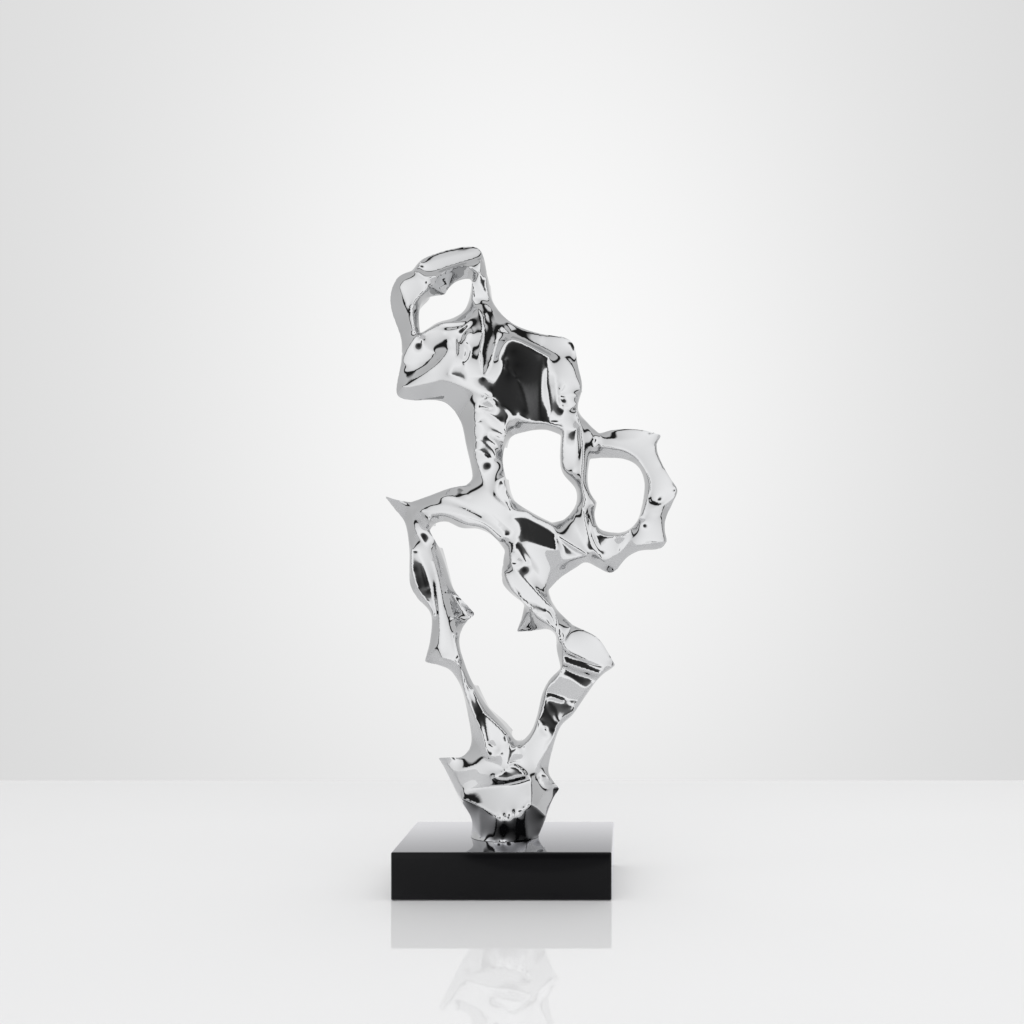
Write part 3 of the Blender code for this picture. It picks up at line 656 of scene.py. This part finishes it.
def nearest(points, others):
    # the distance from each point to the nearest of the others, and that one's number
    away = np.full(len(points), np.inf)
    which = np.zeros(len(points), int)
    for start in range(0, len(others), nearBatch):
        block = others[start : start + nearBatch]
        apart = np.hypot(points[:, :1] - block[:, 0], points[:, 1:] - block[:, 1])
        closest = apart.argmin(axis=1)
        found = apart[np.arange(len(points)), closest]
        nearer = found < away
        away[nearer] = found[nearer]
        which[nearer] = start + closest[nearer]
    return away, which


def crossing(points, edges, others):
    # whether each edge crosses one of the others
    def side(a, b, c):
        along, across = b - a, c - a
        return along[..., 0] * across[..., 1] - along[..., 1] * across[..., 0]

    found = np.zeros(len(edges), bool)
    r, s = points[others[:, 0]], points[others[:, 1]]
    for start in range(0, len(edges), edgeBatch):
        block = edges[start : start + edgeBatch]
        p, q = points[block[:, 0]][:, None], points[block[:, 1]][:, None]
        apart = (side(p, q, r) * side(p, q, s) < 0) & (side(r, s, p) * side(r, s, q) < 0)
        found[start : start + edgeBatch] = apart.any(axis=1)
    return found


def triangleNet(loops, rimLift, lines, fine, spacing):
    # triangles over the front view, with the lift where it is known and the height of the fine strokes
    points = np.vstack(loops)
    known = list(rimLift)
    raised = [math.nan] * len(known)
    edges, joins, start = [], [], 0
    for loop in loops:
        edges += [(start + k, start + (k + 1) % len(loop)) for k in range(len(loop))]
        start += len(loop)
    for levels, route in [*lines, *fine]:
        stops = smoothCurve(route, spacing)
        share = np.linspace(0, 1, len(stops))
        if isinstance(levels, tuple):
            values = np.interp(share, np.linspace(0, 1, len(levels)), levels)
        else:
            values = levels * np.sqrt(np.sin(math.pi * share).clip(0))
        away, which = nearest(stops, points)
        within = inside(stops, loops)
        chain, added = [], []
        for stop, value, gap, other, kept in zip(stops, values, away, which, within):
            if gap < form["weld"] * spacing:
                chain.append(other)
            elif kept:
                chain.append(len(points) + len(added))
                added.append(stop)
                known.append(value if isinstance(levels, tuple) else math.nan)
                raised.append(math.nan if isinstance(levels, tuple) else value)
        if added:
            points = np.vstack([points, added])
        joins += [(a, b) for a, b in zip(chain, chain[1:]) if a != b]
    edges, joins = np.array(edges), np.array(joins)
    edges = np.vstack([edges, joins[~crossing(points, joins, edges)]])
    low, high = points.min(axis=0), points.max(axis=0)
    rows = np.arange(low[1], high[1], spacing * math.sqrt(0.75))
    grid = np.array(
        [(x + spacing / 2 * (row % 2), z) for row, z in enumerate(rows)
         for x in np.arange(low[0], high[0], spacing)]
    )
    grid = grid[inside(grid, loops)]
    grid = grid[nearest(grid, points)[0] > form["clear"] * spacing]
    count = len(points)
    points = np.vstack([points, grid])
    flat, _, faces, origins, _, _ = delaunay_2d_cdt(
        [Vector(point) for point in points], edges.tolist(), [], 0, 1e-4
    )
    flat = np.array([tuple(point) for point in flat])
    faces = np.array(faces)
    faces = faces[inside(flat[faces].mean(axis=1), loops)]
    lift, height = np.full((2, len(flat)), np.nan)
    order = np.full(len(flat), -1)
    for number, found in enumerate(origins):
        if found:
            order[number] = min(found)
            if order[number] < count:
                lift[number] = known[order[number]]
                height[number] = raised[order[number]]
    return flat, faces, lift, height, order


def relax(pull, load, values, free, scale):
    # solves pull(values) = load for the free points, by conjugate gradients
    rest = np.where(free, load - pull(values), 0)
    step = rest / scale
    size = rest @ step
    for _ in range(mostSteps):
        moved = np.where(free, pull(step), 0)
        share = size / (step @ moved)
        values = values + share * step
        rest = rest - share * moved
        if np.abs(rest).max() < atRest:
            break
        eased = rest / scale
        newSize = rest @ eased
        step = eased + newSize / size * step
        size = newSize
    return values


def stretch(flat, faces, lift, hollow):
    # a skin stretched between the creases and dished by the hollow
    corner = flat[faces]
    side = np.roll(corner, -1, axis=1) - corner
    area = np.abs(side[:, 0, 0] * side[:, 1, 1] - side[:, 0, 1] * side[:, 1, 0]) / 2
    count = len(flat)
    load = sum(np.bincount(faces[:, k], area / 3 * hollow, count) for k in range(3))
    ends, weights = [], []
    for k in range(3):
        across = (side[:, (k + 2) % 3] * side[:, k]).sum(axis=1)
        ends.append(faces[:, [(k + 1) % 3, (k + 2) % 3]])
        weights.append(np.maximum(-across / (4 * area), leastPull))
    ends, weights = np.vstack(ends), np.concatenate(weights)
    total = np.bincount(ends[:, 0], weights, count) + np.bincount(ends[:, 1], weights, count)
    total = np.maximum(total, tiny)

    def pull(values):
        return (
            total * values
            - np.bincount(ends[:, 0], weights * values[ends[:, 1]], count)
            - np.bincount(ends[:, 1], weights * values[ends[:, 0]], count)
        )

    free = np.isnan(lift) & (total > 0)
    return relax(pull, -load, np.where(np.isnan(lift), 0, lift), free, total)


def soften(places, faces, held, reach):
    # rounds the creases as a plating does: each point eases towards its neighbours, whatever their spacing
    corner = places[faces]
    side = np.roll(corner, -1, axis=1) - corner
    area = np.linalg.norm(np.cross(side[:, 0], side[:, 1]), axis=1) / 2
    count = len(places)
    mass = sum(np.bincount(faces[:, k], area / 3, count) for k in range(3))
    ends, weights = [], []
    for k in range(3):
        across = (side[:, (k + 2) % 3] * side[:, k]).sum(axis=1)
        ends.append(faces[:, [(k + 1) % 3, (k + 2) % 3]])
        weights.append(np.clip(-across / (4 * np.maximum(area, smallArea)), leastPull, mostPull))
    ends, weights = np.vstack(ends), np.concatenate(weights) * reach**2
    total = np.bincount(ends[:, 0], weights, count) + np.bincount(ends[:, 1], weights, count) + mass
    total = np.maximum(total, tiny)

    def pull(values):
        return (
            total * values
            - np.bincount(ends[:, 0], weights * values[ends[:, 1]], count)
            - np.bincount(ends[:, 1], weights * values[ends[:, 0]], count)
        )

    return np.column_stack(
        [relax(pull, mass * places[:, k], places[:, k], ~held, total) for k in range(3)]
    )


def divide(places, faces, longest):
    # splits the long edges, which only steep walls have; a triangle that front and back share at a
    # spike's tip has no thickness, and is left out
    _, kind, times = np.unique(np.sort(faces, axis=1), axis=0, return_inverse=True, return_counts=True)
    faces = faces[times[kind.ravel()] == 1]
    shape = bmesh.new()
    points = [shape.verts.new(place) for place in places.tolist()]
    for face in faces.tolist():
        shape.faces.new([points[k] for k in face])
    for _ in range(form["splits"]):
        tooLong = [edge for edge in shape.edges if edge.calc_length() > longest]
        bmesh.ops.subdivide_edges(shape, edges=tooLong, cuts=1)
        bmesh.ops.triangulate(shape, faces=[face for face in shape.faces if len(face.verts) > 3])
    shape.verts.index_update()
    places = np.array([tuple(point.co) for point in shape.verts])
    faces = np.array([[point.index for point in face.verts] for face in shape.faces])
    shape.free()
    return places, faces


def castForm():
    spacing = form["spacing"]
    lower, reach = footEdge(spacing)
    loops, lifts = [], []
    for number, rim in enumerate(rims):
        loop, lift = rimLoop(rim, spacing, number > 0)
        loops.append(loop)
        lifts.append(lift)
    start = len(loops[0])
    loops[0] = np.vstack([loops[0], lower])
    front = np.concatenate([lifts[0], reach] + lifts[1:])
    back = np.concatenate([-lifts[0], reach] + [-lift for lift in lifts[1:]])
    foot = set(range(start, start + len(lower)))

    seen = [(levels, route) for _, levels, route in creases]
    fine = [(height * form["strokes"], route) for height, route in strokes]
    behind = [
        (tuple(level * form["backShare"] for level in levels), route)
        for both, levels, route in creases if both
    ]
    points, faces, joined = [], [], {}
    for toward, known, lines, finer in ((-1, front, seen, fine), (1, back, behind, [])):
        flat, net, lift, height, order = triangleNet(loops, known, lines, finer, spacing)
        skin = stretch(flat, net, lift, form["hollow"])
        if finer:
            # the strokes stand off the stretched skin, which then settles round them
            lift = np.where(np.isnan(height), lift, skin + height)
            skin = stretch(flat, net, lift, form["hollow"])
        lift = skin
        depth = toward * lift * (1 + spread(flat, girths)) - spread(flat, bends)
        numbers = np.empty(len(flat), int)
        for k in range(len(flat)):
            label = int(order[k])
            onRim = 0 <= label < len(front)
            key = (toward, label) if label in foot else label
            if onRim and key in joined:
                numbers[k] = joined[key]
                continue
            numbers[k] = len(points)
            points.append((flat[k, 0], depth[k], flat[k, 1]))
            if onRim:
                joined[key] = numbers[k]
        net = numbers[net]
        faces.append(net if toward < 0 else net[:, ::-1])
    # the flat underside of the foot, between its front and back edges
    ring = [start - 1, *range(start, start + len(lower)), 0]
    under = []
    for a, b in zip(ring, ring[1:]):
        around = [joined.get((-1, a), joined.get(a)), joined.get((1, a), joined.get(a)),
                  joined.get((1, b), joined.get(b)), joined.get((-1, b), joined.get(b))]
        around = list(dict.fromkeys(around))
        under += [(around[0], around[k], around[k + 1]) for k in range(1, len(around) - 1)]
    faces = np.vstack(faces + [np.array(under)])
    places, faces = divide(np.array(points), faces, form["longest"])
    fixed = np.arange(len(places)) < len(points)
    places = soften(places, faces, fixed, form["wallEase"])
    # the foot's flat underside and its edge stay where they are
    held = places[:, 2] < footHeight + form["spacing"] / 10
    for _ in range(form["rounds"]):
        places = soften(places, faces, held, form["soft"])
    return places, faces


def addPiece(name, mesh, material):
    mesh.materials.append(material)
    piece = bpy.data.objects.new(name, mesh)
    bpy.context.scene.collection.objects.link(piece)
    return piece


def makeForm(material):
    places, faces = castForm()
    mesh = bpy.data.meshes.new("sculpture form")
    mesh.from_pydata((places * millimetre).tolist(), [], faces.tolist())
    shape = bmesh.new()
    shape.from_mesh(mesh)
    loose = [point for point in shape.verts if not point.link_faces]
    bmesh.ops.delete(shape, geom=loose, context="VERTS")
    bmesh.ops.recalc_face_normals(shape, faces=shape.faces)
    shape.to_mesh(mesh)
    shape.free()
    mesh.shade_smooth()
    mesh.set_sharp_from_angle(angle=math.radians(form["sharp"]))
    piece = addPiece("sculpture_form", mesh, material)
    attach(piece, "root")
    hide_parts("sculpture")
    print("stage: form made,", len(mesh.polygons), "triangles")


plinth = {
    "edge": 1.8,  # mm, the radius of the softened edges
    "segments": 4,
    "sharp": 40,  # degrees
}


def makePlinth(material):
    low, high = (Vector(corner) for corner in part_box("plinth"))
    shape = bmesh.new()
    bmesh.ops.create_cube(shape, size=1)
    bmesh.ops.scale(shape, vec=high - low, verts=shape.verts)
    bmesh.ops.translate(shape, vec=(high + low) / 2, verts=shape.verts)
    bmesh.ops.bevel(
        shape, geom=shape.edges[:], offset=plinth["edge"] * millimetre, segments=plinth["segments"],
        profile=0.5, affect="EDGES",
    )
    mesh = bpy.data.meshes.new("plinth block")
    shape.to_mesh(mesh)
    shape.free()
    mesh.shade_smooth()
    mesh.set_sharp_from_angle(angle=math.radians(plinth["sharp"]))
    piece = addPiece("plinth_block", mesh, material)
    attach(piece, "root")
    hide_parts("plinth")
    print("stage: plinth made")


# The finishes
class Wire:
    # one socket of a material, on which sums are written as Python expressions
    def __init__(self, tree, socket):
        self.tree = tree
        self.socket = socket

    def node(self, kind, settings, values, output=0):
        made = self.tree.nodes.new(kind)
        for name, value in settings.items():
            if name == "stops":
                ramp = made.color_ramp
                while len(ramp.elements) < len(value):
                    ramp.elements.new(1)
                for element, (position, colour) in zip(ramp.elements, value):
                    element.position = position
                    element.color = (*colour, 1)
            else:
                setattr(made, name, value)
        for name, value in values.items():
            if isinstance(value, Wire):
                self.tree.links.new(value.socket, made.inputs[name])
            else:
                made.inputs[name].default_value = value
        return Wire(self.tree, made.outputs[output])

    def math(self, operation, first, second):
        return self.node("ShaderNodeMath", {"operation": operation}, {0: first, 1: second})

    def __add__(self, other):
        return self.math("ADD", self, other)

    def __radd__(self, other):
        return self.math("ADD", other, self)

    def __sub__(self, other):
        return self.math("SUBTRACT", self, other)

    def __rsub__(self, other):
        return self.math("SUBTRACT", other, self)

    def __mul__(self, other):
        return self.math("MULTIPLY", self, other)

    def __rmul__(self, other):
        return self.math("MULTIPLY", other, self)

    def __pow__(self, other):
        return self.math("POWER", self, other)

    def __rpow__(self, other):
        return self.math("POWER", other, self)


def startMaterial(name, constants):
    material = bpy.data.materials.new(name)
    material.use_nodes = True
    tree = material.node_tree
    shader = tree.nodes["Principled BSDF"]
    for socket, value in constants.items():
        shader.inputs[socket].default_value = value
    place = tree.nodes.new("ShaderNodeTexCoord")
    return material, shader, Wire(tree, place.outputs["Object"])


def noise(place, scale, detail=2.0, roughness=0.5):
    values = {"Vector": place, "Scale": scale, "Detail": detail, "Roughness": roughness}
    return place.node("ShaderNodeTexNoise", {}, values)


def tint(place, amount, dark, light):
    # a colour between two, by an amount from 0 to 1
    made = place.tree.nodes.new("ShaderNodeMix")
    made.data_type = "RGBA"
    place.tree.links.new(amount.socket, made.inputs["Factor"])
    made.inputs[6].default_value = (*dark, 1)
    made.inputs[7].default_value = (*light, 1)
    return Wire(place.tree, made.outputs[2])


chrome = {
    "dark": (0.535, 0.54, 0.55),
    "light": (0.60, 0.603, 0.608),
    "roughness": 0.012,
    "smudge": 0.03,  # extra roughness where it was last wiped
    "peel": 0.00004,  # m, the height of the faint orange peel
    "peelShare": 0.35,
}


def chromeFinish():
    material, shader, place = startMaterial("mirror chrome", {"Metallic": 1.0})
    cloud = noise(place, 14, 3)
    wiped = noise(place, 60, 5, 0.6)
    fine = noise(place, 260, 2)
    link = place.tree.links.new
    link(tint(place, cloud, chrome["dark"], chrome["light"]).socket, shader.inputs["Base Color"])
    link((chrome["roughness"] + chrome["smudge"] * (wiped * wiped)).socket, shader.inputs["Roughness"])
    values = {"Strength": chrome["peelShare"], "Distance": chrome["peel"], "Height": fine}
    link(place.node("ShaderNodeBump", {}, values).socket, shader.inputs["Normal"])
    return material


lacquer = {
    "dark": (0.003, 0.003, 0.0035),
    "light": (0.007, 0.007, 0.008),
    "roughness": 0.03,
    "dust": 0.06,  # extra roughness of its specks
    "gloss": (0.97, 0.97, 1.0),  # the polish's own tint
    "sheen": 1.05,  # share of the light that the polish throws back where it is seen edge on
    "rise": 2.3,  # how late it rises towards the edge-on view
}


def lacquerFinish():
    material, shader, place = startMaterial("black lacquer", {"IOR": 1.2})
    link = place.tree.links.new
    cloud = noise(place, 9, 4)
    dust = noise(place, 900, 2) ** 6.0
    link(tint(place, cloud, lacquer["dark"], lacquer["light"]).socket, shader.inputs["Base Color"])
    rough = lacquer["roughness"] + lacquer["dust"] * dust
    link(rough.socket, shader.inputs["Roughness"])
    values = {"Color": (*lacquer["gloss"], 1), "Roughness": rough}
    polish = place.node("ShaderNodeBsdfAnisotropic", {}, values)
    edgeOn = place.node("ShaderNodeLayerWeight", {}, {"Blend": 0.5}, 1)
    share = lacquer["sheen"] * edgeOn ** lacquer["rise"]
    body = Wire(place.tree, shader.outputs[0])
    mixed = place.node("ShaderNodeMixShader", {}, {0: share, 1: body, 2: polish})
    link(mixed.socket, place.tree.nodes["Material Output"].inputs[0])
    return material


makeForm(chromeFinish())
makePlinth(lacquerFinish())

# The studio
studio = {
    "floorColour": (0.9, 0.9, 0.905),
    "floorRoughness": 0.03,
    "floorBack": 0.54,  # m behind the middle of the plinth
    "floorWidth": 3.2,  # m
    "backdrop": (0.67, 0.285),  # brightness at its edges, and how much brighter it is in the middle
    "glow": ((-0.08, 1.0), (0.15, 0.5)),  # the middle of the glow and how fast it fades: across, up
    "glowRate": 10,
    # degrees off the way from the sculpture to the camera, and the brightness of the studio there: the
    # dark doorway the camera looks through, the lit wall round it, its black frame, the pale room behind
    "walls": (
        (0, 0.02), (6, 0.05), (11, 0.2), (13, 1.1), (18, 1.4), (40, 1.2), (55, 1.0), (58.5, 0.02),
        (66, 0.02), (70.5, 0.8), (110, 0.7), (180, 0.82),
    ),
    "lamp": 7.5,  # W, a broad soft lamp overhead
    "lampSize": (1.8, 1.2),  # m
    "lampPlace": (0.15, -0.1, 1.5),  # m
    "cameraPlace": (0.120, -1.145, 0.3034),  # m, level with the waist and looking straight back
    "lens": 42,  # mm
    "film": 36,  # mm wide
    "shift": (-0.119, 0.052),  # how far the lens is slid across and up, as a share of the film
}


def makeFloor():
    shape = bmesh.new()
    bmesh.ops.create_grid(shape, x_segments=2, y_segments=2, size=0.5)
    bmesh.ops.scale(shape, vec=(studio["floorWidth"], 2 * studio["floorBack"], 1), verts=shape.verts)
    mesh = bpy.data.meshes.new("table top")
    shape.to_mesh(mesh)
    shape.free()
    constants = {"Roughness": studio["floorRoughness"], "Base Color": (*studio["floorColour"], 1)}
    material, _, _ = startMaterial("pale floor", constants)
    floor = addPiece("floor", mesh, material)


def makeWorld():
    world = bpy.data.worlds.new("studio")
    bpy.context.scene.world = world
    world.use_nodes = True
    tree = world.node_tree
    tree.nodes.clear()
    place = Wire(tree, tree.nodes.new("ShaderNodeTexCoord").outputs["Generated"])
    toward = place.node("ShaderNodeSeparateXYZ", {}, {0: place}, 1)
    angle = (toward * -1).math("ARCCOSINE", toward * -1, 0.0) * (1 / math.pi)
    stops = [(degree / 180, (level / 2,) * 3) for degree, level in studio["walls"]]
    ramp = place.node("ShaderNodeValToRGB", {"stops": stops}, {0: angle})
    seen = Wire(tree, tree.nodes.new("ShaderNodeLightPath").outputs["Is Camera Ray"])
    light = place.node("ShaderNodeBackground", {}, {"Color": ramp, "Strength": 2.0})
    fade = 0.0
    for axis, (middle, rate) in zip((0, 2), studio["glow"]):
        away = place.node("ShaderNodeSeparateXYZ", {}, {0: place}, axis) - middle
        fade = away * away * rate + fade
    glow = math.e ** (fade * -studio["glowRate"])
    level = studio["backdrop"][1] * glow + studio["backdrop"][0]
    backdrop = place.node("ShaderNodeBackground", {}, {"Color": (1, 1, 1, 1), "Strength": level})
    mixed = place.node("ShaderNodeMixShader", {}, {0: seen, 1: light, 2: backdrop})
    out = tree.nodes.new("ShaderNodeOutputWorld")
    tree.links.new(mixed.socket, out.inputs[0])


def makeLamp():
    lamp = bpy.data.lights.new("overhead lamp", "AREA")
    lamp.shape = "RECTANGLE"
    lamp.size, lamp.size_y = studio["lampSize"]
    lamp.energy = studio["lamp"]
    holder = bpy.data.objects.new("overhead lamp", lamp)
    holder.location = studio["lampPlace"]
    holder.visible_glossy = False
    bpy.context.scene.collection.objects.link(holder)


def makeCamera():
    camera = bpy.data.cameras.new("camera")
    camera.lens = studio["lens"]
    camera.sensor_width = studio["film"]
    camera.shift_x, camera.shift_y = studio["shift"]
    holder = bpy.data.objects.new("camera", camera)
    holder.location = studio["cameraPlace"]
    holder.rotation_euler = (math.radians(90), 0, 0)
    bpy.context.scene.collection.objects.link(holder)
    bpy.context.scene.camera = holder


makeFloor()
makeWorld()
makeLamp()
makeCamera()
bpy.context.scene.view_settings.view_transform = "Standard"
print("stage: studio made")
